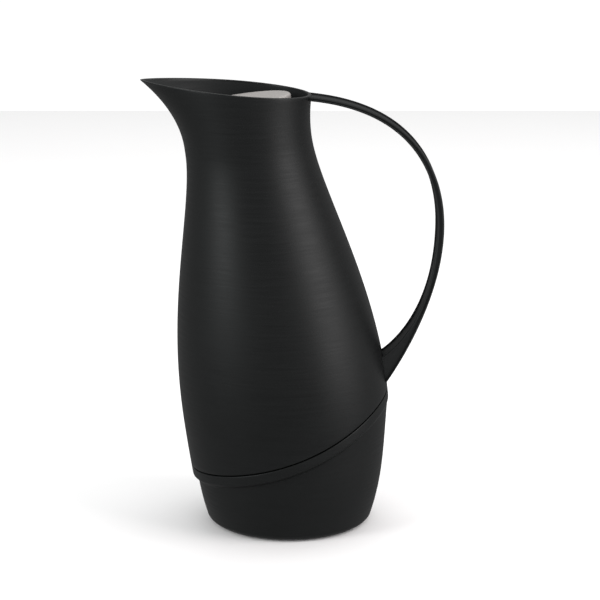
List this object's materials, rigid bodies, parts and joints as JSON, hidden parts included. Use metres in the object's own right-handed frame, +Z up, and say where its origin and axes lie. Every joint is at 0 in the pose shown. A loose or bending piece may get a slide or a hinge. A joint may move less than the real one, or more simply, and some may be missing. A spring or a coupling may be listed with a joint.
{
  "type": "thermal pouring jug",
  "caption": "Insulated pouring jug: leaning waisted shell, drawn spout, strap handle, glass flask and a steel lid that tips open over a pull-out stopper.",
  "frame": {"origin": "on the table under the middle of the jug's length, at the bottom centre of its box", "axes": "+Z up, +X towards the handle, spout towards -X"},
  "size_m": [0.1926, 0.135, 0.2899],
  "materials": {
    "shell_black": "satin black moulding with a fine horizontal grain",
    "base_black": "satin black moulding",
    "handle_black": "satin black moulding",
    "screw_steel": "zinc-plated screw",
    "flask_glass": "clear glass, silvered on its far side",
    "flask_silver": "silvered glass",
    "spacer_felt": "pressed fibre pad",
    "seal_rubber": "grey silicone",
    "inner_plastic": "dark grey moulding",
    "collar_black": "satin black moulding",
    "cap_black": "black moulding",
    "foot_rubber": "black rubber",
    "stopper_black": "black moulding",
    "pin_steel": "ground steel",
    "carrier_black": "black moulding",
    "lid_steel": "brushed stainless steel",
    "weight_steel": "turned stainless steel"
  },
  "bodies": {
    "jug": {"outer_shell": "shell_black", "base_shell": "base_black", "handle_strap": "handle_black", "handle_screws": "screw_steel", "flask_inner": "flask_glass", "flask_outer": "flask_silver", "flask_spacers": "spacer_felt", "flask_seal": "seal_rubber", "flask_cushion": "seal_rubber", "flask_cradle": "inner_plastic", "neck_collar": "collar_black", "bottom_cap": "cap_black", "cap_seal": "seal_rubber", "foot_ring": "foot_rubber"},
    "stopper": {"stopper_body": "stopper_black", "stopper_seal": "seal_rubber", "hinge_pin": "pin_steel"},
    "lid": {"lid_carrier": "carrier_black", "lid_disc": "lid_steel", "lid_seal": "seal_rubber", "lid_weight": "weight_steel"}
  },
  "joints": [
    {"name": "stopper_lift", "type": "slide", "parent": "jug", "child": "stopper", "axis": [-0.1374, 0, 0.9905], "range_m": [0, 0.07]},
    {"name": "lid_tip", "type": "hinge", "parent": "stopper", "child": "lid", "pos_m": [-0.0038, 0, 0.27441], "axis": [0, 1, 0], "range_deg": [0, 28]}
  ]
}
